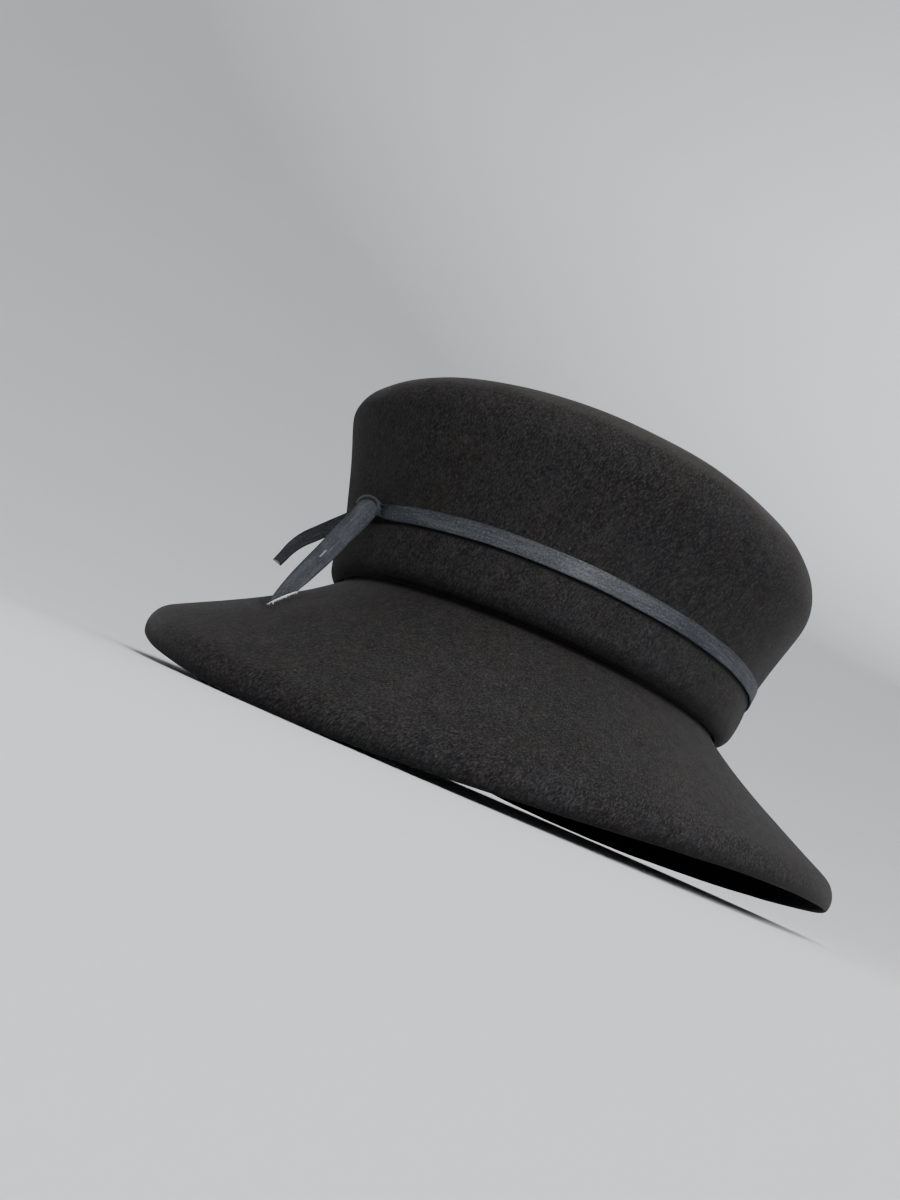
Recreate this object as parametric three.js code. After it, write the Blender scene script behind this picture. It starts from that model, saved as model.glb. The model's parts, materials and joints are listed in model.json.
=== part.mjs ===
import * as THREE from "three";

// Wide-brim felt hat with a narrow ribbon tied at the side, in millimetres, +Z up.
// The wearer's front is toward -Y and the wearer's left toward +X. The hat stands on the rim of
// its brim, and the origin is under the middle of its bounding box on the surface it stands on.
//
// Every place on the hat is given by three values:
//   around  degrees from the front, by the wearer's left
//   out     distance outward from the oval of the crease
//   up      height above the crease, where the crown meets the brim

// ---------- sizes ----------

const FELT = 2;
const GAP = 0.3;
const CREASE_HALF_WIDTH = 87.5;
const CREASE_HALF_LENGTH = 103;
const SEGMENTS_AROUND = 64;

// crown: the soft roll above the crease, then the seat of the ribbon, the flared wall and the tip
const ROLL_OUT = 5.2;
const ROLL_RADIUS = 7.8;
const ROLL_FROM = -80;
const ROLL_TO = -10;
const ROLL_FULLNESS = 0.6;
const WALL_HOLLOW = 0.8;
const CORNER_FROM = -15;
const CORNER_TO = 83;
const TIP_HEIGHT = 80.6;
const TIP_DOME = 6.2;

// brim: a collar inside the crown, a slope that eases toward the rim, a rolled edge
const COLLAR_OUT = -2.1;
const COLLAR_HEIGHT = 9;
const BRIM_START_UP = 0.4;
const BRIM_START_SLOPE = 42;
const BRIM_EASING = 0.37;
const EDGE_RADIUS = 9;
const EDGE_TO = 118;

// ribbon
const RIBBON_WIDTH = 6.3;
const RIBBON_THICKNESS = 0.6;
const RIBBON_UP = 20.7;
const SEAT_OUT = 6.7;
const SEAT_FLARE = 0.9;

// how the hat leans when it stands free on its rim, and where its crease is then
const REST = { pitch: -1.01, roll: -0.53, x: -0.74, y: -3.051, creaseHeight: 58.072 };

// crown, one row each 45 degrees: height of the top, outward flare at the top, radius of the top edge
const CROWN_STATIONS = [
  { around: 0, topHeight: 80, flare: 22, edgeRadius: 16 },
  { around: 45, topHeight: 81.5, flare: 21, edgeRadius: 19.5 },
  { around: 90, topHeight: 82, flare: 19, edgeRadius: 18.5 },
  { around: 135, topHeight: 81.5, flare: 17.5, edgeRadius: 17 },
  { around: 180, topHeight: 80.5, flare: 17.5, edgeRadius: 14.5 },
  { around: 225, topHeight: 82.5, flare: 19.5, edgeRadius: 8.5 },
  { around: 270, topHeight: 80, flare: 22.5, edgeRadius: 5 },
  { around: 315, topHeight: 77, flare: 23, edgeRadius: 8 },
];

// brim, one row each 45 degrees: outward reach of the rim and its drop below the crease
const BRIM_STATIONS = [
  { around: 0, reach: 63.5, drop: 61 },
  { around: 45, reach: 56.5, drop: 52 },
  { around: 90, reach: 59, drop: 47.5 },
  { around: 135, reach: 70, drop: 50.5 },
  { around: 180, reach: 71.5, drop: 55 },
  { around: 225, reach: 65.5, drop: 46 },
  { around: 270, reach: 59, drop: 39.5 },
  { around: 315, reach: 61, drop: 50 },
];

// knot: a soft lump over the ribbon at the front right of the wearer
const KNOT = { around: -28, out: 12.8, up: 21.8, halfAlong: 4.2, halfUp: 4.2, halfDeep: 4.3 };
const BAND_PINCH = 0.38;
const BAND_PINCH_LENGTH = 12;

// tails: the line each one follows from the knot, and which way its width points at both ends
const LONG_TAIL = {
  path: [
    { around: -28.6, out: 12.2, up: 26.9 },
    { around: -27.3, out: 12.5, up: 27.3 },
    { around: -25.8, out: 13.4, up: 26.1 },
    { around: -25.1, out: 14.9, up: 22.9 },
    { around: -25.3, out: 15.9, up: 18.8 },
    { around: -24.8, out: 19.1, up: 9.8 },
    { around: -24.1, out: 22.6, up: 1.3 },
    { around: -22.8, out: 30, up: -16.4 },
    { around: -22.2, out: 33.8, up: -25.2 },
  ],
  startWidth: 7.6,
  endWidth: 5.6,
  endSlant: 6,
  acrossStart: { azimuth: 128, elevation: -17 },
  acrossEnd: { azimuth: 128, elevation: -17 },
};
const SHORT_TAIL = {
  path: [
    { around: -34.2, out: 9.6, up: 21.4 },
    { around: -36.4, out: 10.6, up: 19.3 },
    { around: -39.7, out: 13.2, up: 15.8 },
    { around: -43.8, out: 16.8, up: 11.5 },
    { around: -47.9, out: 20.3, up: 8 },
    { around: -50.8, out: 23.2, up: 3.9 },
    { around: -52.6, out: 24.9, up: 0.1 },
    { around: -53.8, out: 26.4, up: -3.4 },
  ],
  startWidth: 6,
  endWidth: 6.3,
  endSlant: 0,
  acrossStart: { azimuth: 128, elevation: -44 },
  acrossEnd: { azimuth: 73, elevation: -24 },
};
const TAIL_SECTIONS = 20;

// ---------- shared geometry ----------

const radians = THREE.MathUtils.degToRad;

// The value of a column between the stations, smooth and periodic around the hat.
function between(stations, column, around) {
  const n = stations.length;
  let value = 0;
  for (const station of stations) {
    const half = radians(around - station.around) / 2;
    const onStation = Math.abs(Math.sin(half)) < 1e-9;
    const weight = onStation ? 1 : Math.sin(n * half) / (n * Math.tan(half));
    value += weight * station[column];
  }
  return value;
}

function outwardAt(around) {
  const a = radians(around);
  const normal = new THREE.Vector3(
    Math.sin(a) / CREASE_HALF_WIDTH,
    -Math.cos(a) / CREASE_HALF_LENGTH,
    0,
  );
  return normal.normalize();
}

function place(around, out, up) {
  const a = radians(around);
  const base = new THREE.Vector3(
    CREASE_HALF_WIDTH * Math.sin(a),
    -CREASE_HALF_LENGTH * Math.cos(a),
    up,
  );
  return base.addScaledVector(outwardAt(around), out);
}

function direction({ azimuth, elevation }) {
  const a = radians(azimuth);
  const e = radians(elevation);
  return new THREE.Vector3(
    Math.sin(a) * Math.cos(e),
    -Math.cos(a) * Math.cos(e),
    Math.sin(e),
  );
}

// Points [out, up] along an arc, its angle counted from straight outward toward up.
function arc(out, up, radius, from, to, steps) {
  const points = [];
  for (let i = 0; i <= steps; i++) {
    const a = radians(from + ((to - from) * i) / steps);
    points.push([out + radius * Math.cos(a), up + radius * Math.sin(a)]);
  }
  return points;
}

// A closed solid through rings of equal length. With two poles it ends in a fan at each,
// and with none the last ring joins the first.
function skin(rings, poles) {
  const count = rings[0].length;
  const points = rings.flat();
  const triangles = [];
  const bands = poles ? rings.length - 1 : rings.length;
  for (let r = 0; r < bands; r++) {
    const here = r * count;
    const next = ((r + 1) % rings.length) * count;
    for (let i = 0; i < count; i++) {
      const j = (i + 1) % count;
      triangles.push(here + i, here + j, next + j);
      triangles.push(here + i, next + j, next + i);
    }
  }
  if (poles) {
    const first = points.push(poles[0]) - 1;
    const last = points.push(poles[1]) - 1;
    const end = (rings.length - 1) * count;
    for (let i = 0; i < count; i++) {
      const j = (i + 1) % count;
      triangles.push(first, j, i);
      triangles.push(last, end + i, end + j);
    }
  }
  if (signedVolume(points, triangles) < 0) triangles.reverse();
  const geometry = new THREE.BufferGeometry().setFromPoints(points);
  geometry.setIndex(triangles);
  geometry.computeVertexNormals();
  return geometry;
}

function signedVolume(points, triangles) {
  let volume = 0;
  const cross = new THREE.Vector3();
  for (let t = 0; t < triangles.length; t += 3) {
    const [a, b, c] = [triangles[t], triangles[t + 1], triangles[t + 2]].map((i) => points[i]);
    volume += a.dot(cross.crossVectors(b, c)) / 6;
  }
  return volume;
}

// Turns a section that depends on the place around the hat into rings.
function ringsAround(sectionAt) {
  const sections = [];
  for (let i = 0; i < SEGMENTS_AROUND; i++) {
    const around = (360 * i) / SEGMENTS_AROUND;
    sections.push(sectionAt(around).map(([out, up]) => place(around, out, up)));
  }
  return sections[0].map((_, k) => sections.map((section) => section[k]));
}

function middleOf(points) {
  const sum = new THREE.Vector3();
  for (const point of points) sum.add(point);
  return sum.divideScalar(points.length);
}

// ---------- crown ----------

// Where the wall starts above the ribbon.
const WALL_START_OUT = SEAT_OUT + SEAT_FLARE + 0.4;
const WALL_START_UP = RIBBON_UP + RIBBON_WIDTH + 1.5;

function crownSizes(around) {
  return {
    top: between(CROWN_STATIONS, "topHeight", around),
    flare: between(CROWN_STATIONS, "flare", around),
    radius: between(CROWN_STATIONS, "edgeRadius", around),
  };
}

function crownOutside(around) {
  const { top, flare, radius } = crownSizes(around);
  const rollCentre = ROLL_OUT - ROLL_RADIUS;
  const roll = arc(rollCentre, ROLL_RADIUS, ROLL_RADIUS, ROLL_FROM, ROLL_TO, 5);
  const [rollOut, rollUp] = roll.at(-1);
  const below = [1 / 3, 2 / 3].map((t) => [
    rollOut + (SEAT_OUT - rollOut) * t + ROLL_FULLNESS * 4 * t * (1 - t),
    rollUp + (RIBBON_UP - rollUp) * t,
  ]);
  const seat = [
    [SEAT_OUT, RIBBON_UP],
    [SEAT_OUT + SEAT_FLARE, RIBBON_UP + RIBBON_WIDTH],
  ];
  const edge = arc(flare - radius, top - radius, radius, CORNER_FROM, CORNER_TO, 8);
  const [edgeOut, edgeUp] = edge[0];
  const wall = [0, 0.25, 0.5, 0.75].map((t) => [
    WALL_START_OUT + (edgeOut - WALL_START_OUT) * t - WALL_HOLLOW * 2 * t * (1 - t),
    WALL_START_UP + (edgeUp - WALL_START_UP) * t,
  ]);
  return [...roll, ...below, ...seat, ...wall, ...edge];
}

function crownInside(around) {
  const { top, flare, radius } = crownSizes(around);
  const rollCentre = ROLL_OUT - ROLL_RADIUS;
  const roll = arc(rollCentre, ROLL_RADIUS, ROLL_RADIUS - FELT, ROLL_FROM, ROLL_TO, 3);
  const seat = [
    [SEAT_OUT - FELT, RIBBON_UP],
    [SEAT_OUT + SEAT_FLARE - FELT, RIBBON_UP + RIBBON_WIDTH],
  ];
  const edge = arc(flare - radius, top - radius, radius - FELT, CORNER_FROM, CORNER_TO, 5);
  const [edgeOut, edgeUp] = edge[0];
  const middle = [
    (WALL_START_OUT - FELT + edgeOut) / 2 - WALL_HOLLOW / 2,
    (WALL_START_UP + edgeUp) / 2,
  ];
  return [...roll, ...seat, middle, ...edge];
}

// The tip: rings that shrink toward the middle and rise into a low dome.
function tipRings(edgeRing, height, scales) {
  return scales.map((t) =>
    edgeRing.map((point) => {
      const up = point.z * t * t + (height + TIP_DOME) * (1 - t * t);
      return new THREE.Vector3(point.x * t, point.y * t, up);
    }),
  );
}

function crownGeometry() {
  const outside = ringsAround(crownOutside);
  const inside = ringsAround(crownInside);
  const tipOutside = tipRings(outside.at(-1), TIP_HEIGHT, [0.86, 0.66, 0.42, 0.18]);
  const tipInside = tipRings(inside.at(-1), TIP_HEIGHT - FELT, [0.8, 0.5, 0.2]);
  const rings = [
    ...tipOutside.reverse(),
    ...outside.reverse(),
    ...inside,
    ...tipInside,
  ];
  return skin(rings, [
    new THREE.Vector3(0, 0, TIP_HEIGHT + TIP_DOME),
    new THREE.Vector3(0, 0, TIP_HEIGHT - FELT + TIP_DOME),
  ]);
}

// ---------- brim ----------

// The slope where the rolled edge begins, from the fall between the crease and the rim.
function brimEdgeStart(reach, rimUp) {
  const startSlope = radians(BRIM_START_SLOPE);
  const endCos = Math.cos(radians(EDGE_TO));
  let slope = radians(25);
  let start;
  for (let i = 0; i < 12; i++) {
    start = {
      slope,
      out: reach - EDGE_RADIUS * (1 - Math.sin(slope)),
      up: rimUp + EDGE_RADIUS * (Math.cos(slope) - endCos),
    };
    const chord = Math.atan2(BRIM_START_UP - start.up, start.out - COLLAR_OUT);
    slope = Math.max(radians(2), chord - BRIM_EASING * (startSlope - chord));
  }
  return start;
}

// One side of the brim, [out, up] from the collar to the cut edge. depth is 0 on top, FELT below.
function brimSide(around, depth, slopeSteps, edgeSteps) {
  const reach = between(BRIM_STATIONS, "reach", around);
  const rimUp = -between(BRIM_STATIONS, "drop", around);
  const end = brimEdgeStart(reach, rimUp);
  const startSlope = radians(BRIM_START_SLOPE);
  const length = Math.hypot(BRIM_START_UP - end.up, end.out - COLLAR_OUT);
  const points = [
    [COLLAR_OUT - depth, COLLAR_HEIGHT],
    [COLLAR_OUT - depth, BRIM_START_UP + (depth > 0 ? 0 : 1.5)],
  ];
  for (let i = 0; i <= slopeSteps; i++) {
    const t = i / slopeSteps;
    const [h0, g0] = [2 * t ** 3 - 3 * t ** 2 + 1, t ** 3 - 2 * t ** 2 + t];
    const [h1, g1] = [-2 * t ** 3 + 3 * t ** 2, t ** 3 - t ** 2];
    const [dh0, dg0] = [6 * t ** 2 - 6 * t, 3 * t ** 2 - 4 * t + 1];
    const [dh1, dg1] = [-6 * t ** 2 + 6 * t, 3 * t ** 2 - 2 * t];
    const along = (a, b, c, d) => [
      a * COLLAR_OUT + b * length * Math.cos(startSlope) + c * end.out + d * length * Math.cos(end.slope),
      a * BRIM_START_UP - b * length * Math.sin(startSlope) + c * end.up - d * length * Math.sin(end.slope),
    ];
    const [out, up] = along(h0, g0, h1, g1);
    const [runOut, runUp] = along(dh0, dg0, dh1, dg1);
    const run = Math.hypot(runOut, runUp);
    points.push([out + (depth * runUp) / run, up - (depth * runOut) / run]);
  }
  const centreOut = reach - EDGE_RADIUS;
  const centreUp = rimUp - EDGE_RADIUS * Math.cos(radians(EDGE_TO));
  const startAngle = 90 - THREE.MathUtils.radToDeg(end.slope);
  const edge = arc(centreOut, centreUp, EDGE_RADIUS - depth, startAngle, 90 - EDGE_TO, edgeSteps);
  return [...points, ...edge.slice(1)];
}

function brimGeometry() {
  const sectionAt = (around) => [
    ...brimSide(around, 0, 9, 6),
    ...brimSide(around, FELT, 6, 4).reverse(),
  ];
  return skin(ringsAround(sectionAt), null);
}

// ---------- ribbon ----------

function knotFrame() {
  const outward = outwardAt(KNOT.around);
  const along = new THREE.Vector3(-outward.y, outward.x, 0);
  const up = new THREE.Vector3(0, 0, 1);
  return { centre: place(KNOT.around, KNOT.out, KNOT.up), along, up, outward };
}

function knotGeometry() {
  const { centre, along, up, outward } = knotFrame();
  const ringCount = 11;
  const sides = 20;
  const rings = [];
  for (let r = 1; r <= ringCount; r++) {
    const tilt = (Math.PI * r) / (ringCount + 1);
    const ring = [];
    for (let i = 0; i < sides; i++) {
      const turn = (2 * Math.PI * i) / sides;
      const crease = 1 + 0.06 * Math.cos(2 * turn + 2.5 * Math.cos(tilt));
      ring.push(
        centre
          .clone()
          .addScaledVector(along, KNOT.halfAlong * crease * Math.sin(tilt) * Math.cos(turn))
          .addScaledVector(outward, KNOT.halfDeep * Math.sin(tilt) * Math.sin(turn))
          .addScaledVector(up, KNOT.halfUp * Math.cos(tilt)),
      );
    }
    rings.push(ring);
  }
  return skin(rings, [
    centre.clone().addScaledVector(up, KNOT.halfUp),
    centre.clone().addScaledVector(up, -KNOT.halfUp),
  ]);
}

// The band: a closed strap round the crown, pinched narrower under the knot.
function bandGeometry() {
  const meanRadius = (CREASE_HALF_WIDTH + CREASE_HALF_LENGTH) / 2;
  const sectionAt = (around) => {
    const fromKnot = radians(THREE.MathUtils.euclideanModulo(around - KNOT.around + 180, 360) - 180);
    const pinch = Math.exp(-(((fromKnot * meanRadius) / BAND_PINCH_LENGTH) ** 2));
    const low = (RIBBON_WIDTH * BAND_PINCH * pinch) / 2;
    const high = RIBBON_WIDTH - low;
    const inner = (v) => SEAT_OUT + (SEAT_FLARE * v) / RIBBON_WIDTH + GAP;
    return [
      [inner(low), RIBBON_UP + low],
      [inner(low) + RIBBON_THICKNESS, RIBBON_UP + low],
      [inner(high) + RIBBON_THICKNESS, RIBBON_UP + high],
      [inner(high), RIBBON_UP + high],
    ];
  };
  return skin(ringsAround(sectionAt), null);
}

function tailGeometry(tail) {
  const path = new THREE.CatmullRomCurve3(
    tail.path.map(({ around, out, up }) => place(around, out, up)),
    false,
    "centripetal",
  );
  const acrossStart = direction(tail.acrossStart);
  const acrossEnd = direction(tail.acrossEnd);
  const rings = [];
  for (let i = 0; i <= TAIL_SECTIONS; i++) {
    const share = i / TAIL_SECTIONS;
    const centre = path.getPointAt(share);
    const along = path.getTangentAt(share);
    const across = acrossStart.clone().lerp(acrossEnd, share);
    across.addScaledVector(along, -across.dot(along)).normalize();
    const face = new THREE.Vector3().crossVectors(along, across);
    const width = THREE.MathUtils.lerp(tail.startWidth, tail.endWidth, share);
    const slant = (tail.endSlant / 2) * THREE.MathUtils.smoothstep(share, 0.8, 1);
    const corner = (side, front) =>
      centre
        .clone()
        .addScaledVector(across, (side * width) / 2)
        .addScaledVector(along, -side * slant)
        .addScaledVector(face, (front * RIBBON_THICKNESS) / 2);
    rings.push([corner(-1, -1), corner(-1, 1), corner(1, 1), corner(1, -1)]);
  }
  return skin(rings, [middleOf(rings[0]), middleOf(rings.at(-1))]);
}

// ---------- the hat ----------

const FELT_COLOUR = 0x4c4948;
const RIBBON_COLOUR = 0x656d7d;

function piece(name, geometry, color, roughness) {
  const mesh = new THREE.Mesh(
    geometry,
    new THREE.MeshStandardMaterial({ name, color, roughness, metalness: 0 }),
  );
  mesh.name = name;
  return mesh;
}

const standing = new THREE.Group();
standing.name = "standing";
standing.add(
  piece("crown", crownGeometry(), FELT_COLOUR, 0.95),
  piece("brim", brimGeometry(), FELT_COLOUR, 0.95),
  piece("ribbon_band", bandGeometry(), RIBBON_COLOUR, 0.5),
  piece("ribbon_knot", knotGeometry(), RIBBON_COLOUR, 0.5),
  piece("ribbon_tail_long", tailGeometry(LONG_TAIL), RIBBON_COLOUR, 0.5),
  piece("ribbon_tail_short", tailGeometry(SHORT_TAIL), RIBBON_COLOUR, 0.5),
);
standing.rotation.set(radians(REST.pitch), radians(REST.roll), 0);
standing.position.set(REST.x, REST.y, REST.creaseHeight);

const hat = new THREE.Group();
hat.name = "wide_brim_hat";
hat.add(standing);

export default hat;
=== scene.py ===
import json
import math
import random

import bmesh
import bpy
from mathutils import Euler, Matrix, Vector, noise

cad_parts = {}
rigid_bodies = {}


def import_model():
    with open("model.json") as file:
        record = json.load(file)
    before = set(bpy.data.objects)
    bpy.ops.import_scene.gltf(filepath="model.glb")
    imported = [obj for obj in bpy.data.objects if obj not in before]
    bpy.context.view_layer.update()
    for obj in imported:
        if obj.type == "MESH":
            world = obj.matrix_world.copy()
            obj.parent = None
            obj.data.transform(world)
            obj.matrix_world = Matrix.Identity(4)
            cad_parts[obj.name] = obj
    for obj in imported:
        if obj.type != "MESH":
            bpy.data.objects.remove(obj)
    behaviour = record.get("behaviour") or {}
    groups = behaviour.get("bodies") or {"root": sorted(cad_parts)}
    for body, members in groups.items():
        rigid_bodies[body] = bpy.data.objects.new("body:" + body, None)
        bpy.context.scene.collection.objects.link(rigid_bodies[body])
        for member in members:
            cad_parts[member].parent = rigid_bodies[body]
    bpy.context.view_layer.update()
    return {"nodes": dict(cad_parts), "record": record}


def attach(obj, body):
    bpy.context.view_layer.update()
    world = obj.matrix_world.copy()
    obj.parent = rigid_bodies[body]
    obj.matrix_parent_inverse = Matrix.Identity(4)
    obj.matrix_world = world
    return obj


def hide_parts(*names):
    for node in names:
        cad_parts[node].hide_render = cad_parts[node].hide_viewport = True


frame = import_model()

MM = 0.001


# ---------- camera ----------

# Where the camera stands and looks, seen from the middle of the head opening: degrees and metres.
CAMERA_AZIMUTH = 20.03
CAMERA_ELEVATION = -7.24
CAMERA_DISTANCE = 0.4212
AIM_AZIMUTH = 25.97
AIM_ELEVATION = -9.57
CAMERA_LEAN = 23.24
LENS = 27.99
SENSOR_WIDTH = 36.0

head_opening = Vector(frame["record"]["mounts"][0]["pos_m"])


def compass(azimuth, elevation):
    """The direction from the hat to a place at this azimuth and elevation, in degrees."""
    a, e = math.radians(azimuth), math.radians(elevation)
    return Vector((math.sin(a) * math.cos(e), -math.cos(a) * math.cos(e), math.sin(e)))


def set_camera():
    back = compass(AIM_AZIMUTH, AIM_ELEVATION)
    level = Vector((0, 0, 1)).cross(back).normalized()
    upright = back.cross(level)
    lean = math.radians(CAMERA_LEAN)
    up = upright * math.cos(lean) - level * math.sin(lean)
    right = up.cross(back)
    data = bpy.data.cameras.new("camera")
    data.sensor_fit = "AUTO"
    data.sensor_width = SENSOR_WIDTH
    data.lens = LENS
    data.clip_start = 0.001
    data.clip_end = 20
    camera = bpy.data.objects.new("camera", data)
    bpy.context.scene.collection.objects.link(camera)
    place = head_opening + compass(CAMERA_AZIMUTH, CAMERA_ELEVATION) * CAMERA_DISTANCE
    camera.matrix_world = Matrix(
        (
            (right.x, up.x, back.x, place.x),
            (right.y, up.y, back.y, place.y),
            (right.z, up.z, back.z, place.z),
            (0, 0, 0, 1),
        )
    )
    bpy.context.scene.camera = camera


set_camera()


# ---------- edit-mode helpers ----------


def only(obj):
    """Deselects everything and makes obj the one selected and active object."""
    for other in bpy.context.view_layer.objects:
        other.select_set(False)
    obj.select_set(True)
    bpy.context.view_layer.objects.active = obj


def edit(obj, select="SELECT"):
    """Goes into edit mode on obj with all or nothing of it selected."""
    only(obj)
    bpy.ops.object.mode_set(mode="EDIT")
    bpy.ops.mesh.select_all(action=select)


def done():
    bpy.ops.object.mode_set(mode="OBJECT")


def apply_all(obj):
    only(obj)
    for modifier in list(obj.modifiers):
        bpy.ops.object.modifier_apply(modifier=modifier.name)


def subdivide(obj, levels):
    modifier = obj.modifiers.new("rounding", "SUBSURF")
    modifier.levels = modifier.render_levels = levels


def smooth(obj):
    only(obj)
    bpy.ops.object.shade_smooth()


def finish_piece(obj, node, material):
    """Rides, stands for its CAD node and takes its material."""
    obj.data.materials.clear()
    obj.data.materials.append(material)
    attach(obj, "root")
    if node:
        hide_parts(node)


# ---------- shader helpers ----------

STRAP_MAP = "strap"


class Wire:
    """A socket whose value goes through Math nodes when it is added, multiplied and so on."""

    def __init__(self, finish, socket):
        self.finish = finish
        self.socket = socket

    def _math(self, operation, *values):
        return self.finish.node("ShaderNodeMath", {"operation": operation}, dict(enumerate(values)))

    def __add__(self, other):
        return self._math("ADD", self, other)

    def __sub__(self, other):
        return self._math("SUBTRACT", self, other)

    def __rsub__(self, other):
        return self._math("SUBTRACT", other, self)

    def __mul__(self, other):
        return self._math("MULTIPLY", self, other)

    def __truediv__(self, other):
        return self._math("DIVIDE", self, other)

    def __pow__(self, other):
        return self._math("POWER", self, other)

    def __neg__(self):
        return self._math("MULTIPLY", self, -1.0)

    def absolute(self):
        return self._math("ABSOLUTE", self)

    def sine(self):
        return self._math("SINE", self)


class Finish:
    """One procedural material and the nodes it is made of."""

    def __init__(self, name, **constants):
        self.material = bpy.data.materials.new(name)
        self.material.use_nodes = True
        self.tree = self.material.node_tree
        self.tree.nodes.clear()
        self.shader = self.tree.nodes.new("ShaderNodeBsdfPrincipled")
        output = self.tree.nodes.new("ShaderNodeOutputMaterial")
        self.tree.links.new(self.shader.outputs[0], output.inputs[0])
        for socket, value in constants.items():
            self.shader.inputs[socket.replace("_", " ")].default_value = value

    def node(self, kind, settings=None, sockets=None, out=0):
        """A new node with these settings and sockets, as the wire from its output."""
        node = self.tree.nodes.new(kind)
        for name, value in (settings or {}).items():
            setattr(node, name, value)
        for key, value in (sockets or {}).items():
            socket = node.inputs[key]
            if isinstance(value, Wire):
                self.tree.links.new(value.socket, socket)
            else:
                socket.default_value = value
        return Wire(self, node.outputs[out])

    def set(self, socket, wire):
        self.tree.links.new(wire.socket, self.shader.inputs[socket])

    def position(self):
        return self.node("ShaderNodeTexCoord", out="Object")

    def strap_map(self):
        """The strap's own UV map: metres along it and across it."""
        return self.node("ShaderNodeUVMap", {"uv_map": STRAP_MAP})

    def parts(self, vector):
        """The x, y and z of a vector."""
        node = self.tree.nodes.new("ShaderNodeSeparateXYZ")
        self.tree.links.new(vector.socket, node.inputs[0])
        return [Wire(self, output) for output in node.outputs]

    def direction(self, y, x):
        """The angle at which the point x, y lies, in radians."""
        return self.node("ShaderNodeMath", {"operation": "ARCTAN2"}, {0: y, 1: x})

    def vector(self, x, y, z):
        return self.node("ShaderNodeCombineXYZ", None, {0: x, 1: y, 2: z})

    def noise(self, vector, scale, detail=2.0, roughness=0.5, distortion=0.0):
        return self.node(
            "ShaderNodeTexNoise",
            {"noise_dimensions": "3D"},
            {
                "Vector": vector,
                "Scale": scale,
                "Detail": detail,
                "Roughness": roughness,
                "Distortion": distortion,
            },
        )

    def between(self, value, low, high, to_low=0.0, to_high=1.0):
        """value's run from low to high, eased, as a run from to_low to to_high."""
        return self.node(
            "ShaderNodeMapRange",
            {"interpolation_type": "SMOOTHSTEP", "clamp": True},
            {"Value": value, 1: low, 2: high, 3: to_low, 4: to_high},
        )

    def window(self, value, start, full, fading, gone):
        """1 where value lies from full to fading, eased down to 0 at start and at gone."""
        return self.between(value, start, full) * self.between(value, gone, fading)

    def lay_over(self, colour, rows):
        """colour with patterns laid over it. Each row is a pattern, where it starts and is full, how
        strong it gets, and the colour that it turns to."""
        for pattern, start, full, strength, shade in rows:
            colour = self.mix(self.between(pattern, start, full, 0.0, strength), colour, shade)
        return colour

    def mix(self, factor, a, b):
        """Two colours mixed."""
        node = self.tree.nodes.new("ShaderNodeMix")
        node.data_type = "RGBA"
        node.clamp_factor = True
        for socket, value in zip((node.inputs[0], node.inputs[6], node.inputs[7]), (factor, a, b)):
            if isinstance(value, Wire):
                self.tree.links.new(value.socket, socket)
            elif isinstance(value, tuple):
                socket.default_value = (*value, 1.0)
            else:
                socket.default_value = value
        return Wire(self, node.outputs[2])

    def bump(self, height, distance, strength, under=None):
        sockets = {"Height": height, "Distance": distance, "Strength": strength}
        if under is not None:
            sockets["Normal"] = under
        return self.node("ShaderNodeBump", None, sockets)


# ---------- the hat's sizes ----------

# The hat's own sizes round the crease, in millimetres and degrees, as in the part's source.
CREASE_HALF_WIDTH = 87.5
CREASE_HALF_LENGTH = 103
RIBBON_WIDTH = 6.3
RIBBON_THICKNESS = 0.6
RIBBON_UP = 20.7
SEAT_OUT = 6.7
SEAT_FLARE = 0.9
RIBBON_GAP = 0.3
KNOT_AROUND = -28
REST_PITCH = -1.01
REST_ROLL = -0.53
REST_PLACE = Vector((-0.74, -3.051, 58.072))

rest_pitch = Euler((math.radians(REST_PITCH), 0, 0)).to_matrix()
rest_roll = Euler((0, math.radians(REST_ROLL), 0)).to_matrix()
rest = rest_pitch @ rest_roll


def settled(point):
    """A point of the hat, in millimetres from the middle of its crease, where it stands, in metres."""
    return (rest @ point + REST_PLACE) * MM


def outward_at(around):
    """The level direction straight out of the crease here, around in degrees."""
    a = math.radians(around)
    return Vector((CREASE_HALF_LENGTH * math.sin(a), -CREASE_HALF_WIDTH * math.cos(a), 0)).normalized()


def hat_point(around, out, up):
    """A point by degrees round from the front, and millimetres out of the crease and above it."""
    a = math.radians(around)
    base = Vector((CREASE_HALF_WIDTH * math.sin(a), -CREASE_HALF_LENGTH * math.cos(a), up))
    return base + outward_at(around) * out


# ---------- felt ----------

FELT_BROWN = (0.0131, 0.0115, 0.0101)
FELT_GREY = (0.0113, 0.0109, 0.0119)
FELT_LIGHT = (0.0392, 0.0364, 0.0360)
# A painted highlight for the crown's top edge.
FELT_PAINTED_HIGHLIGHT = (0.0400, 0.0368, 0.0335)
# Dark fibres in the nap, and painted shade under the roll and where the rim curls under.
FELT_DEEP_AND_PAINTED_SHADE = (0.0024, 0.0023, 0.0024)
FELT_LINT = (0.07, 0.065, 0.06)
# Painted shade for the crease, and a painted shadow for the ribbon's lower edge.
CREASE_PAINTED_SHADE = (0.0012, 0.0012, 0.0013)
BAND_PAINTED_SHADOW = (0.0015, 0.0015, 0.0016)

# The nap is brushed at a slant round the hat, on a cone that falls with the brim, and one way over
# the crown's tip. Its strokes are longer than they are wide by these scales.
NAP_LEAN = math.radians(20)
NAP_RADIUS = 0.115
NAP_FALL = 0.35
NAP_ALONG = 0.32
NAP_DEEP = 0.4
TIP_TURN = 0.9
TIP_SCALE = (0.33, 1.0, 0.6)

# How fine each pattern of the felt is, in repeats a metre.
NAP_FINENESS = 2800.0
SPECK_FINENESS = 1300.0
LOCK_FINENESS = 800.0
LINT_FINENESS = 520.0
CLUMP_FINENESS = 260.0
HUE_FINENESS = 75.0
PATCH_FINENESS = 42.0
CLOUD_FINENESS = 13.0


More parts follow.
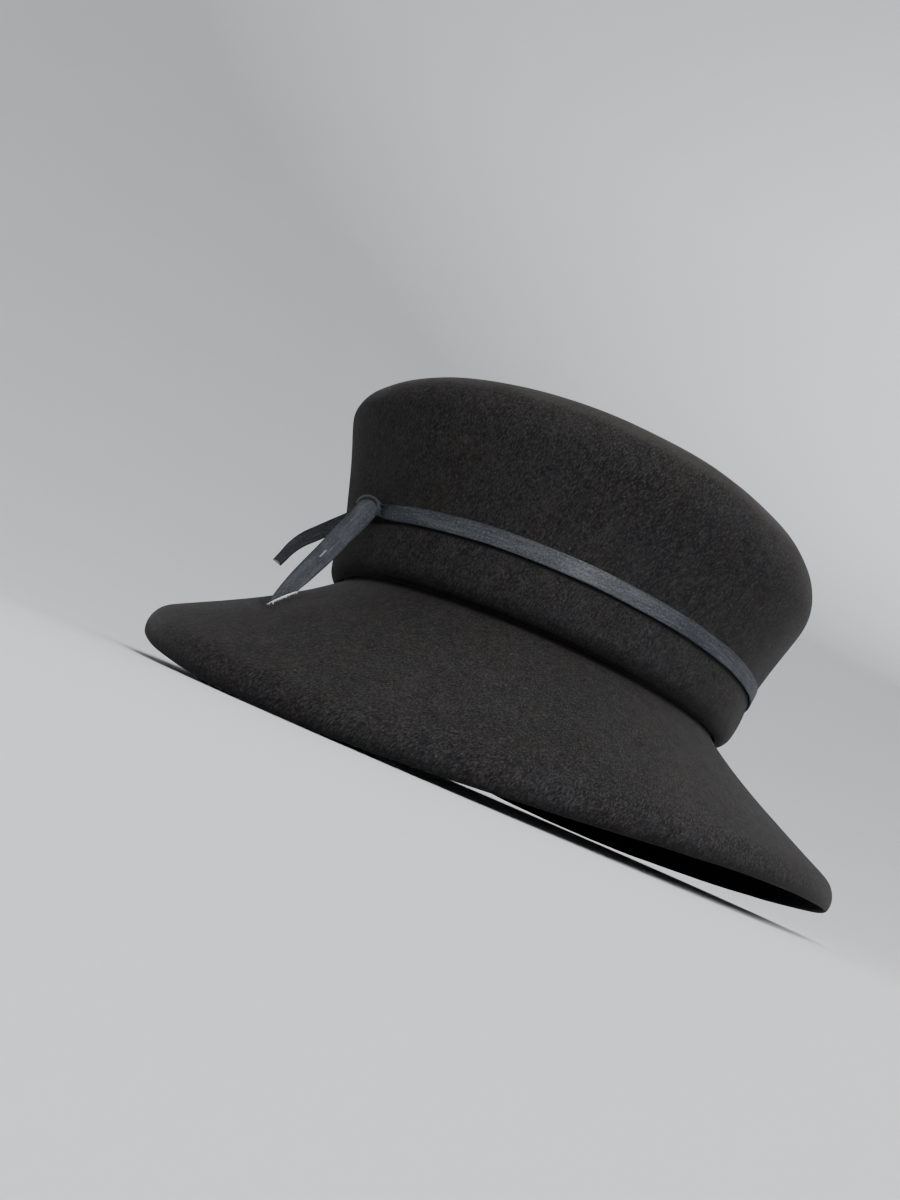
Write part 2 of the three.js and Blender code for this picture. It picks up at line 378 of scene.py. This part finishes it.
def brushed_strokes(felt, upright, distance):
    """A maker of brushed strokes by their fineness, detail and distortion. They run round the hat from
    the front and from the back, so the seam of each is hidden under the other."""
    x, y, z = felt.parts(upright)
    rise = z - distance * NAP_FALL

    def brushed(angle):
        """Coordinates along and across the nap, laid round the hat from this angle."""
        around = angle * NAP_RADIUS
        along = around * math.sin(NAP_LEAN) + rise * math.cos(NAP_LEAN)
        across = around * math.cos(NAP_LEAN) - rise * math.sin(NAP_LEAN)
        return felt.vector(along * NAP_ALONG, across, distance * NAP_DEEP)

    nap_front = brushed(felt.direction(x, -y))
    nap_back = brushed(felt.direction(-x, y))
    nap_tip = felt.node(
        "ShaderNodeMapping",
        {"vector_type": "POINT"},
        {"Vector": upright, "Rotation": (0.0, 0.0, TIP_TURN), "Scale": TIP_SCALE},
    )
    front_half = felt.between(y, 0.012, -0.012)
    tip = felt.between(distance, 0.072, 0.055) * felt.between(z, 0.060, 0.068)

    def strokes(fineness, detail, distortion):
        front, back, top = (
            felt.noise(nap, fineness, detail, 0.62, distortion) for nap in (nap_front, nap_back, nap_tip)
        )
        side = front * front_half + back * (1 - front_half)
        return top * tip + side * (1 - tip)

    return strokes


def painted_light_and_shade(felt, body, upright, nap, patches):
    """The felt's body with painted light and shade: a painted highlight where the crown's wall turns
    over into its tip, painted shade where the rim curls under, under the roll and in the crease, and a
    painted shadow along the ribbon's lower edge. Heights and distances are in metres from the middle of
    the crease."""
    x, y, z = felt.parts(upright)
    lift = felt.parts(felt.node("ShaderNodeTexCoord", out="Normal"))[2]

    # Painted highlight, broken up by the nap, where the crown's wall turns over into its tip.
    turn_over = felt.window(lift, 0.4, 0.62, 0.8, 0.93) * felt.between(z, 0.055, 0.065)
    edge_painted_highlight = turn_over * felt.between(nap + patches, 0.7, 1.2, 0.2, 0.65)
    body = felt.mix(edge_painted_highlight, body, FELT_PAINTED_HIGHLIGHT)

    # Painted shade where the rim curls under and faces down.
    curl_painted_shade = felt.between(lift, 0.22, -0.5) * felt.between(z, -0.012, -0.022)
    body = felt.mix(curl_painted_shade * felt.between(nap, 0.3, 0.7, 0.8, 0.6), body, FELT_DEEP_AND_PAINTED_SHADE)

    # How far a point lies outside the crease's oval, near the crease, and a raggedness for its edges.
    sideways, lengthways = x / (CREASE_HALF_WIDTH * MM), y / (CREASE_HALF_LENGTH * MM)
    oval = (sideways * sideways + lengthways * lengthways) ** 0.5
    outside = (oval - 1) * ((CREASE_HALF_WIDTH + CREASE_HALF_LENGTH) / 2 * MM)
    ragged = (nap - 0.5) * 0.0012

    # Painted shade under the roll.
    roll_painted_shade = felt.window(z, -0.002, -0.001, 0.0005, 0.0075)
    roll_painted_shade = roll_painted_shade * felt.window(outside, -0.004, 0.0, 0.005, 0.009)
    body = felt.mix(roll_painted_shade * 0.6, body, FELT_DEEP_AND_PAINTED_SHADE)

    # Painted shade in the crease where crown and brim meet, and a painted shadow along the ribbon's
    # lower edge.
    crease_painted_shade = felt.window(z + ragged, -0.0016, -0.0007, 0.0004, 0.0026)
    crease_painted_shade = crease_painted_shade * felt.between(outside + ragged, 0.0024, 0.0010) * felt.between(outside, -0.008, -0.004)
    body = felt.mix(crease_painted_shade * 0.95, body, CREASE_PAINTED_SHADE)
    from_band = (z - (RIBBON_UP - 0.35) * MM + ragged * 0.5).absolute()
    band_painted_shadow = felt.between(from_band, 0.0011, 0.0003)
    band_painted_shadow = band_painted_shadow * felt.window(outside, 0.003, 0.005, 0.0105, 0.0125)
    return felt.mix(band_painted_shadow * 0.8, body, BAND_PAINTED_SHADOW)


def felt_finish():
    """Dark taupe wool felt: a brushed nap over a mottled body, with painted shade in its creases and
    under its edges and a painted highlight at the crown's top edge.
    """
    felt = Finish(
        "taupe_felt",
        Roughness=0.92,
        Specular_IOR_Level=0.1,
        Sheen_Weight=0.075,
        Sheen_Roughness=0.36,
        Sheen_Tint=(0.66, 0.62, 0.6, 1.0),
    )
    place = felt.position()
    upright = felt.node(
        "ShaderNodeMapping",
        {"vector_type": "TEXTURE"},
        {
            "Vector": place,
            "Location": tuple(REST_PLACE * MM),
            "Rotation": (math.radians(REST_PITCH), math.radians(REST_ROLL), 0.0),
        },
    )
    x, y, _ = felt.parts(upright)
    distance = (x * x + y * y) ** 0.5

    strokes = brushed_strokes(felt, upright, distance)
    nap = strokes(NAP_FINENESS, 1.5, 0.3)
    locks = strokes(LOCK_FINENESS, 1.5, 0.5)
    patches = felt.noise(place, PATCH_FINENESS, 3.0, 0.6, 0.8)
    clumps = felt.noise(place, CLUMP_FINENESS, 2.0, 0.55, 1.2)
    hues = felt.noise(upright, HUE_FINENESS, 2.0, 0.5, 0.5)
    clouds = felt.noise(place, CLOUD_FINENESS, 2.0, 0.5)
    specks = felt.noise(place, SPECK_FINENESS, 1.0, 0.5)
    lint = felt.noise(upright, LINT_FINENESS, 1.0)

    body = felt.mix(felt.between(hues, 0.36, 0.64), FELT_GREY, FELT_BROWN)
    body = felt.lay_over(
        body,
        (
            (clouds, 0.3, 0.75, 0.16, FELT_LIGHT),
            (patches, 0.52, 0.74, 0.14, FELT_LIGHT),
            (patches, 0.46, 0.26, 0.3, FELT_DEEP_AND_PAINTED_SHADE),
            (locks, 0.48, 0.74, 0.28, FELT_LIGHT),
            (clumps, 0.52, 0.74, 0.26, FELT_LIGHT),
            (clumps, 0.48, 0.28, 0.42, FELT_DEEP_AND_PAINTED_SHADE),
            (nap, 0.48, 0.68, 0.8, FELT_LIGHT),
            (nap, 0.47, 0.32, 0.7, FELT_DEEP_AND_PAINTED_SHADE),
            (specks, 0.42, 0.26, 0.45, FELT_DEEP_AND_PAINTED_SHADE),
            (lint, 0.7, 0.76, 0.3, FELT_LINT),
        ),
    )
    felt.set("Base Color", painted_light_and_shade(felt, body, upright, nap, patches))
    felt.set("Roughness", felt.between(nap, 0.3, 0.7, 0.86, 0.97))

    soft = felt.bump(clouds * 0.6 + patches * 0.4, 0.0011, 0.5)
    tufts = felt.bump(locks, 0.0002, 0.25, soft)
    felt.set("Normal", felt.bump(nap * 0.75 + specks * 0.25, 0.0002, 0.9, tufts))
    return felt.material


felt = felt_finish()


# Doubles closer than this are one point, and triangles that meet this flat become squares.
MERGE_REACH = 0.00001
FLAT_ENOUGH = math.radians(70)
# Two soft waves over the felt: repeats a metre, and their share of the full height.
WAVE_HEIGHT = 0.7
BROAD_WAVE, BROAD_SHARE = 26.0, 0.5
SMALL_WAVE, SMALL_SHARE = 61.0, 0.22
SMALL_SHIFT = Vector((3, 1, 2))


def felt_copy(node, name):
    """The felt shell as a finer, softer surface: the CAD node's copy, merged, squared and rounded."""
    shell = bpy.data.objects.new(name, frame["nodes"][node].data.copy())
    bpy.context.scene.collection.objects.link(shell)
    edit(shell)
    bpy.ops.mesh.remove_doubles(threshold=MERGE_REACH)
    bpy.ops.mesh.tris_convert_to_quads(face_threshold=FLAT_ENOUGH, shape_threshold=FLAT_ENOUGH)
    bpy.ops.mesh.select_all(action="DESELECT")
    done()
    subdivide(shell, 2)
    apply_all(shell)
    normals = [vertex.normal.copy() for vertex in shell.data.vertices]
    for vertex, normal in zip(shell.data.vertices, normals):
        broad = noise.noise(vertex.co * BROAD_WAVE) * BROAD_SHARE
        small = noise.noise(vertex.co * SMALL_WAVE + SMALL_SHIFT) * SMALL_SHARE
        vertex.co += normal * (broad + small) * WAVE_HEIGHT * MM
    smooth(shell)
    return shell


for shell_node in ("crown", "brim"):
    finish_piece(felt_copy(shell_node, "felt_" + shell_node), shell_node, felt)


# ---------- ribbon ----------

SLATE_DARK = (0.0290, 0.0315, 0.0370)
SLATE = (0.0420, 0.0455, 0.0530)
SLATE_PALE = (0.0740, 0.0800, 0.0920)
STREAK_PALE = (0.24, 0.25, 0.26)
RAW_THREAD = (0.62, 0.60, 0.55)
RAW_THREAD_DARK = (0.42, 0.41, 0.40)
RIB_PITCH = 0.00045
# A map that starts this many metres before zero shows no cut end.
CUT_AWAY = 0.2
# Doubles closer than this many metres close the band, and an edge is rounded by this share of the
# ribbon's thickness.
SEAM_REACH = 0.00002
EDGE_SHARE = 0.3


def toned(colour, tone):
    return tuple(channel * tone for channel in colour)


def ribbon_finish(name, tone, raw, shine, mottle=1.0, pale_streak=None):
    """Slate-blue ribbon: close lengthwise streaks over a fine grain, pale where it is cut.
    tone scales its colour, and the knotted copy's higher tone is a painted highlight, the back copy's
    lower tone painted shade; raw is how white the cut end is, shine is its gloss, mottle is how strong
    its grain is, and the last is where a short pale streak lies: millimetres before the cut end and
    across."""
    ribbon = Finish(name, Specular_IOR_Level=0.1, Coat_Roughness=0.4)
    along, across, _ = ribbon.parts(ribbon.strap_map())
    lines = ribbon.noise(ribbon.vector(along * 160.0, across * 2300.0, 0.0), 1.0, 2.0, 0.6)
    broad = ribbon.noise(ribbon.vector(along * 45.0, across * 800.0, 4.0), 1.0, 2.0, 0.5)
    grain = ribbon.noise(ribbon.vector(along * 1100.0, across * 1700.0, 9.0), 1.0, 3.0, 0.7)
    cloud = ribbon.noise(ribbon.position(), 170.0, 2.0, 0.5)
    ribs = (along * (2 * math.pi / RIB_PITCH)).sine()
    half_width = RIBBON_WIDTH * MM / 2

    colour = ribbon.mix(ribbon.between(cloud, 0.3, 0.7), toned(SLATE_DARK, tone), toned(SLATE, tone))
    selvedge = (across - half_width).absolute()
    colour = ribbon.lay_over(
        colour,
        (
            (broad, 0.48, 0.72, 0.5, toned(SLATE_PALE, tone)),
            (lines, 0.56, 0.74, 0.5, toned(SLATE_PALE, tone * 1.5)),
            (grain, 0.47, 0.32, 0.8 * mottle, toned(SLATE_DARK, tone * 0.4)),
            (grain, 0.55, 0.7, 0.7 * mottle, toned(SLATE_PALE, tone * 1.9)),
            (selvedge, 0.0024, 0.0030, 0.5, toned(SLATE_DARK, tone * 0.5)),
        ),
    )
    if pale_streak:
        before, aside = pale_streak
        from_streak = (along + before * MM + (grain - 0.5) * 0.0012).absolute()
        from_line = (across - aside * MM + (lines - 0.5) * 0.0006).absolute()
        streak = ribbon.between(from_streak, 0.0022, 0.0015) * ribbon.between(from_line, 0.00036, 0.00016)
        colour = ribbon.mix(streak * 0.75, colour, STREAK_PALE)

    # The cut frays deeper in the middle of the ribbon than at its edges.
    off_middle = across / half_width - 1
    depth = 0.0010 - off_middle * off_middle * 0.0008
    frayed = ribbon.between(along + (grain - 0.5) * 0.0006 + depth, -0.0002, 0.0001)
    ribbon.set("Base Color", ribbon.mix(frayed * raw, colour, RAW_THREAD))
    ribbon.set("Roughness", ribbon.between(grain * 0.6 + lines * 0.4, 0.35, 0.65, 0.7, 0.5))

    facing = ribbon.node("ShaderNodeLayerWeight", None, {"Blend": 0.5}, "Facing")
    uneven = ribbon.between(grain * 0.6 + broad * 0.4, 0.38, 0.62, 0.3, 1.0)
    ribbon.set("Coat Weight", ribbon.between(facing, 0.34, 0.06) * uneven * shine)
    weave = ribbon.bump(ribs, 0.00002, 0.3)
    ribbon.set("Normal", ribbon.bump(lines * 0.5 + grain * 0.6, 0.00018, 0.7, weave))
    return ribbon.material


# The ribbon's copies differ in tone: the knotted copy is painted lighter as a painted highlight, and the
# back copy darker as painted shade.
ribbon_face = ribbon_finish("slate_ribbon_face", tone=0.88, raw=1.0, shine=0.8)
ribbon_end = ribbon_finish(
    "slate_ribbon_end", tone=0.9, raw=1.0, shine=0.12, mottle=0.45, pale_streak=(23.5, 2.8)
)
ribbon_knotted_painted_light = ribbon_finish("slate_ribbon_knotted_painted_light", tone=1.5, raw=0.0, shine=0.25, mottle=0.45)
ribbon_back_painted_shade = ribbon_finish("slate_ribbon_back_painted_shade", tone=0.8, raw=0.3, shine=0.05)


def strap(name, length, steps, across, bend, closed=False, cut_away=0.0):
    """A flat strap of this length in millimetres: a fine grid whose points bend(s, t) takes to their
    place, s along and t across from 0 to 1. Its map, in metres, ends at the cut end, which is cut_away
    before zero."""
    bpy.ops.mesh.primitive_grid_add(x_subdivisions=steps, y_subdivisions=across, size=1, calc_uvs=True)
    piece = bpy.context.object
    piece.name = piece.data.name = name
    mesh = piece.data
    mesh.uv_layers[0].name = STRAP_MAP
    for loop in mesh.uv_layers[0].data:
        loop.uv = ((loop.uv.x - 1) * length * MM - cut_away, loop.uv.y * RIBBON_WIDTH * MM)
    for vertex in mesh.vertices:
        vertex.co = settled(bend(vertex.co.x + 0.5, vertex.co.y + 0.5))
    if closed:
        edit(piece)
        bpy.ops.mesh.remove_doubles(threshold=SEAM_REACH)
        done()
    solid = piece.modifiers.new("thickness", "SOLIDIFY")
    solid.thickness = RIBBON_THICKNESS * MM
    solid.offset = 0
    round_edge = piece.modifiers.new("edge", "BEVEL")
    round_edge.width = RIBBON_THICKNESS * EDGE_SHARE * MM
    round_edge.segments = 2
    round_edge.limit_method = "ANGLE"
    apply_all(piece)
    edit(piece)
    bpy.ops.mesh.normals_make_consistent(inside=False)
    done()
    smooth(piece)
    return piece


def eased(value):
    """value held from 0 to 1, with a slow start and end."""
    value = min(1.0, max(0.0, value))
    return value * value * (3 - 2 * value)


# Beside the knot the band is pinched: how far along this reaches, how much narrower the band gets,
# and how far it cups and pleats, in millimetres but for the share of its width.
PINCH_REACH = 11
PINCH_SHARE = 0.38
PINCH_CUP = 1.7
PINCH_PLEAT = 0.25


def band_bend(s, t):
    """The band round its seat, from the knot and back to it."""
    around = KNOT_AROUND + 360 * s
    from_knot = (s if s < 0.5 else 1 - s) * math.pi * (CREASE_HALF_WIDTH + CREASE_HALF_LENGTH)
    pinch = math.exp(-((from_knot / PINCH_REACH) ** 2))
    low = RIBBON_WIDTH * PINCH_SHARE * pinch / 2
    height = low + (RIBBON_WIDTH - 2 * low) * t
    wave = 0.12 * math.sin(around * 0.21) * math.sin(around * 0.083 + 1)
    out = SEAT_OUT + SEAT_FLARE * height / RIBBON_WIDTH + RIBBON_GAP + RIBBON_THICKNESS / 2
    cupped = pinch * PINCH_CUP * (2 * t - 1) ** 2
    pleat = pinch * PINCH_PLEAT * (1 + math.sin(t * math.pi * 4 + from_knot * 0.2))
    return hat_point(around, out + 0.05 + cupped + pleat, RIBBON_UP + height + wave)


BAND_LENGTH = 646
band = strap(
    "ribbon_band_piece",
    BAND_LENGTH,
    steps=520,
    across=12,
    bend=band_bend,
    closed=True,
    cut_away=CUT_AWAY,
)
finish_piece(band, "ribbon_band", ribbon_face)


# Each tail's middle line: (around, out, up) as hat_point takes them.
LONG_TAIL = [
    (-23.3, 13.5, 24.9),
    (-23.9, 14.4, 21.8),
    (-24.1, 15, 19.3),
    (-24.6, 16.1, 15),
    (-25, 17.8, 10.1),
    (-24.5, 22.2, -0.7),
    (-23.7, 27.2, -11),
    (-23.5, 29.9, -18.2),
    (-23.3, 31.3, -22.6),
]
SHORT_TAIL = [
    (-34.2, 9.6, 21.4),
    (-36.4, 10.6, 19.5),
    (-39.7, 13.2, 16.3),
    (-43.8, 16.8, 12.3),
    (-47.9, 20.3, 9),
    (-50.8, 23.2, 4.9),
    (-52.6, 24.9, 1),
    (-53.8, 26.4, -2.5),
]
# Widths at the knot and at the cut, and how far the cut's slant reaches.
LONG_TAIL_WIDTHS = (7.9, 5.7)
LONG_TAIL_ACROSS = compass(128, -17)
LONG_TAIL_SLANT = 10.5
SHORT_TAIL_WIDTHS = (6, 6.3)
SHORT_TAIL_ACROSS = (compass(128, -44), compass(73, -24))
SHORT_TAIL_SLANT = 2.7
ROUTE_STEPS = 12


class Route:
    """A smooth line through points, measured by length."""

    def __init__(self, stations):
        points = [hat_point(*station) for station in stations]
        self.points = []
        for i in range(len(points) - 1):
            a = points[max(i - 1, 0)]
            b, c = points[i], points[i + 1]
            d = points[min(i + 2, len(points) - 1)]
            for k in range(ROUTE_STEPS):
                t = k / ROUTE_STEPS
                self.points.append(
                    0.5
                    * (
                        2 * b
                        + (c - a) * t
                        + (2 * a - 5 * b + 4 * c - d) * t * t
                        + (3 * b - a - 3 * c + d) * t**3
                    )
                )
        self.points.append(points[-1])
        self.marks = [0.0]
        for p, q in zip(self.points, self.points[1:]):
            self.marks.append(self.marks[-1] + (q - p).length)
        self.length = self.marks[-1]

    def at(self, s):
        """The point this share of the way along."""
        want = min(1.0, max(0.0, s)) * self.length
        for i in range(len(self.marks) - 1):
            if self.marks[i + 1] >= want or i == len(self.marks) - 2:
                part = (want - self.marks[i]) / max(1e-9, self.marks[i + 1] - self.marks[i])
                return self.points[i].lerp(self.points[i + 1], part)

    def axes(self, s, across):
        """The directions ahead, to the side nearest across, and off the face."""
        ahead = (self.at(s + 0.01) - self.at(s - 0.01)).normalized()
        side = (across - ahead * across.dot(ahead)).normalized()
        return ahead, side, side.cross(ahead)


def tail(name, route, widths, across_start, across_end, slant, steps, round_start=False):
    """A free end of the ribbon, cut at a slant. A round start is where it comes over the knot."""

    def bend(s, t):
        width = widths[0] + (widths[1] - widths[0]) * s**3
        ahead, side, face = route.axes(s, across_start.lerp(across_end, s))
        v = t - 0.5
        if s * route.length < width / 2 and round_start:
            width *= max(0.12, math.sqrt(1 - (1 - 2 * s * route.length / width) ** 2))
        end = slant * (0.5 - t) * eased((s - 0.7) / 0.3)
        curl = 0.35 * (1 - 4 * v * v) * (0.4 + 0.6 * math.sin(s * 9) ** 2)
        return route.at(s) + side * (v * width) + ahead * end + face * curl

    return strap(name, route.length, steps=steps, across=8, bend=bend)


long_route = Route(LONG_TAIL)
long_tail = tail(
    "ribbon_tail_long_piece",
    long_route,
    LONG_TAIL_WIDTHS,
    LONG_TAIL_ACROSS,
    LONG_TAIL_ACROSS,
    LONG_TAIL_SLANT,
    steps=150,
    round_start=True,
)
finish_piece(long_tail, "ribbon_tail_long", ribbon_end)
short_tail = tail(
    "ribbon_tail_short_piece",
    Route(SHORT_TAIL),
    SHORT_TAIL_WIDTHS,
    *SHORT_TAIL_ACROSS,
    SHORT_TAIL_SLANT,
    steps=70,
)
finish_piece(short_tail, "ribbon_tail_short", ribbon_back_painted_shade)


# The knot: a soft lump of gathered ribbon, and the turn of ribbon that arches over it.
LUMP_AROUND = -26.4
LUMP_OUT = 12.4
LUMP_UP = 21.9
LUMP_HALF = Vector((4.0, 3.1, 4.1))
LUMP_MAP_LENGTH = 0.026
# The turn over the knot: an arch round this middle, facing this way, in millimetres and degrees.
ARCH_MIDDLE = (-25.4, 12.6, 22.6)
ARCH_FACING = (33, -15)
ARCH_RADIUS = 4.7
ARCH_FROM = -14
ARCH_TO = 178
ARCH_WIDTH = 4.2


def knot_lump():
    """The gathered lump: a sphere drawn out into a low, pleated cushion."""
    bpy.ops.mesh.primitive_uv_sphere_add(segments=56, ring_count=36, radius=1, calc_uvs=True)
    lump = bpy.context.object
    lump.name = lump.data.name = "ribbon_knot_piece"
    lump.data.uv_layers[0].name = STRAP_MAP
    for loop in lump.data.uv_layers[0].data:
        loop.uv = (loop.uv.x * LUMP_MAP_LENGTH - CUT_AWAY, loop.uv.y * RIBBON_WIDTH * MM)
    outward = outward_at(LUMP_AROUND)
    along = Vector((-outward.y, outward.x, 0))
    middle = hat_point(LUMP_AROUND, LUMP_OUT, LUMP_UP)
    for vertex in lump.data.vertices:
        a, o, u = vertex.co
        turn = math.atan2(u, o)
        pleat = 1 + 0.07 * math.sin(turn * 7 + a * 3) * (1 - abs(a)) + 0.05 * math.sin(turn * 3 + 1)
        local = Vector((a * LUMP_HALF.x, o * LUMP_HALF.y * pleat, u * LUMP_HALF.z * pleat))
        vertex.co = settled(middle + along * local.x + outward * local.y + Vector((0, 0, local.z)))
    smooth(lump)
    return lump


def knot_wrap():
    """The turn over the lump, an arch that starts wide on the long tail and ends behind the band."""
    facing = compass(*ARCH_FACING)
    level = Vector((0, 0, 1)).cross(facing).normalized()
    rise = facing.cross(level)
    middle = hat_point(*ARCH_MIDDLE)

    def bend(s, t):
        near = eased(1 - s / 0.5)
        turn = math.radians(ARCH_FROM + (ARCH_TO - ARCH_FROM) * s)
        wrinkle = 0.2 * math.sin(3 * turn + 1)
        spread = ARCH_RADIUS + wrinkle + (0.3 + 0.7 * near) * (1 - t) - 3.0 * near * t
        away = level * math.cos(turn) + rise * math.sin(turn)
        forward = 1.4 + 2.5 * near * t - ARCH_WIDTH * (1 - t)
        return middle + away * spread + facing * forward

    length = ARCH_RADIUS * math.radians(ARCH_TO - ARCH_FROM)
    return strap("knot_wrap", length, steps=60, across=6, bend=bend, cut_away=CUT_AWAY)


knot = knot_lump()
wrap = knot_wrap()
only(knot)
wrap.select_set(True)
bpy.ops.object.join()
finish_piece(knot, "ribbon_knot", ribbon_knotted_painted_light)


# Loose threads at the long tail's raw end, sizes in millimetres.
THREADS = 60
THREAD_RADIUS = 0.11
THREAD_RINGS = 5
THREAD_SIDES = 3


def add_thread(build, root, aim, droop, side, face):
    """One thread: a thin three-sided sliver from root along aim, which bends by droop."""
    rings = []
    for k in range(THREAD_RINGS):
        share = k / (THREAD_RINGS - 1)
        centre = root + aim * share + droop * (share * share)
        thick = THREAD_RADIUS * (1 - 0.55 * share)
        ring = []
        for corner in range(THREAD_SIDES):
            a = 2 * math.pi * corner / THREAD_SIDES
            point = centre + side * (thick * math.cos(a)) + face * (thick * math.sin(a))
            ring.append(build.verts.new(settled(point)))
        rings.append(ring)
    for low, high in zip(rings, rings[1:]):
        for i in range(THREAD_SIDES):
            j = (i + 1) % THREAD_SIDES
            build.faces.new((low[i], low[j], high[j], high[i]))
    build.faces.new(rings[0][::-1])
    build.faces.new(rings[-1])


def frayed_end(route, width, slant, across):
    """Short raw threads along the cut."""
    chance = random.Random(11)
    ahead, side, face = route.axes(1.0, across)
    end = route.at(1.0)
    build = bmesh.new()
    for _ in range(THREADS):
        t = chance.random() - 0.5
        root = end + side * (t * width) - ahead * (t * slant + 0.25) + face * chance.uniform(-0.2, 0.25)
        reach = chance.uniform(0.3, 1.0)
        stray = side * chance.uniform(-0.55, 0.55) + face * chance.uniform(-0.15, 0.4)
        aim = (ahead + stray).normalized()
        droop = Vector((0, 0, -1)) * chance.uniform(0.0, 0.35)
        add_thread(build, root, aim * reach, droop * reach, side, face)
    mesh = bpy.data.meshes.new("raw_threads")
    build.normal_update()
    bmesh.ops.recalc_face_normals(build, faces=build.faces)
    build.to_mesh(mesh)
    build.free()
    threads = bpy.data.objects.new("raw_threads", mesh)
    bpy.context.scene.collection.objects.link(threads)
    return threads


def thread_finish():
    thread = Finish("raw_thread", Roughness=0.8, Specular_IOR_Level=0.3)
    fine = thread.noise(thread.position(), 2500.0, 2.0)
    thread.set("Base Color", thread.mix(thread.between(fine, 0.35, 0.65), RAW_THREAD, RAW_THREAD_DARK))
    thread.set("Normal", thread.bump(fine, 0.00005, 0.5))
    return thread.material


threads = frayed_end(long_route, LONG_TAIL_WIDTHS[1], LONG_TAIL_SLANT, LONG_TAIL_ACROSS)
finish_piece(threads, None, thread_finish())


# ---------- stage and light ----------

PAPER_GREY = (0.70, 0.71, 0.72)
PAPER_PALE = (0.73, 0.735, 0.74)
FLOOR_RADIUS = 0.36
SWEEP_RADIUS = 1.9
SWEEP_STEPS = 24
WALL_HEIGHT = 4.5


def stage_finish():
    paper = Finish("pale_paper", Roughness=0.95, Specular_IOR_Level=0.1)
    paper.set("Base Color", paper.mix(paper.noise(paper.position(), 6.0), PAPER_GREY, PAPER_PALE))
    return paper.material


def make_stage():
    """A round floor that sweeps up into a wall on every side."""
    bpy.ops.mesh.primitive_circle_add(vertices=96, radius=FLOOR_RADIUS, fill_type="NGON")
    stage = bpy.context.object
    stage.name = "studio_sweep"
    edit(stage, "DESELECT")
    bpy.ops.mesh.select_mode(type="EDGE")
    bpy.ops.mesh.select_all(action="SELECT")
    bpy.ops.mesh.region_to_loop()
    sweep = []
    for k in range(1, SWEEP_STEPS + 1):
        a = math.radians(90 * k / SWEEP_STEPS)
        sweep.append((FLOOR_RADIUS + SWEEP_RADIUS * math.sin(a), SWEEP_RADIUS * (1 - math.cos(a))))
    sweep.append((sweep[-1][0], WALL_HEIGHT))
    radius, height = FLOOR_RADIUS, 0.0
    for out, up in sweep:
        bpy.ops.mesh.extrude_edges_move(TRANSFORM_OT_translate={"value": (0, 0, up - height)})
        bpy.ops.transform.resize(value=(out / radius, out / radius, 1), center_override=(0, 0, 0))
        radius, height = out, up
    done()
    smooth(stage)
    stage.data.materials.append(stage_finish())


make_stage()


# Each lamp: how far it stands to the camera's right, above it and toward it, as seen from the hat,
# then its distance and size in metres, its power in watts, its colour, the angle that it lights in
# degrees, and what it faces: the hat, or the wall beyond the lamp.
WARM_WHITE = (1.0, 0.99, 0.97)
COOL_WHITE = (0.97, 0.98, 1.0)
BLUE_WHITE = (0.93, 0.96, 1.0)
LAMPS = [
    ("window", (0.5, 0.85, 0.1), 1.5, 1.1, 16, WARM_WHITE, 180, "hat"),
    ("front_window", (0.42, 0.32, 0.85), 1.3, 0.4, 2.5, BLUE_WHITE, 90, "hat"),
    ("side_window", (0.95, 0.25, 0.0), 1.5, 1.0, 1, COOL_WHITE, 180, "hat"),
    ("wall_wash", (0.75, 0.6, -0.3), 1.0, 1.2, 85, COOL_WHITE, 180, "wall"),
]
AIR_COLOUR = (0.86, 0.9, 0.95, 1)
AIR_STRENGTH = 0.16


def soft_light(name, side, distance, size, power, colour, spread, faces):
    """A round soft lamp that the camera doesn't see."""
    axes = bpy.context.scene.camera.matrix_world.to_3x3()
    away = (axes @ Vector(side)).normalized()
    data = bpy.data.lights.new(name, "AREA")
    data.shape = "DISK"
    data.size = size
    data.energy = power
    data.spread = math.radians(spread)
    data.color = colour
    lamp = bpy.data.objects.new(name, data)
    bpy.context.scene.collection.objects.link(lamp)
    lamp.visible_camera = False
    lamp.location = head_opening + away * distance
    lamp.rotation_mode = "QUATERNION"
    lamp.rotation_quaternion = (-away if faces == "wall" else away).to_track_quat("Z", "Y")


for lamp_row in LAMPS:
    soft_light(*lamp_row)

world = bpy.data.worlds.new("studio_air")
world.use_nodes = True
air = world.node_tree.nodes["Background"]
air.inputs["Color"].default_value = AIR_COLOUR
air.inputs["Strength"].default_value = AIR_STRENGTH
bpy.context.scene.world = world
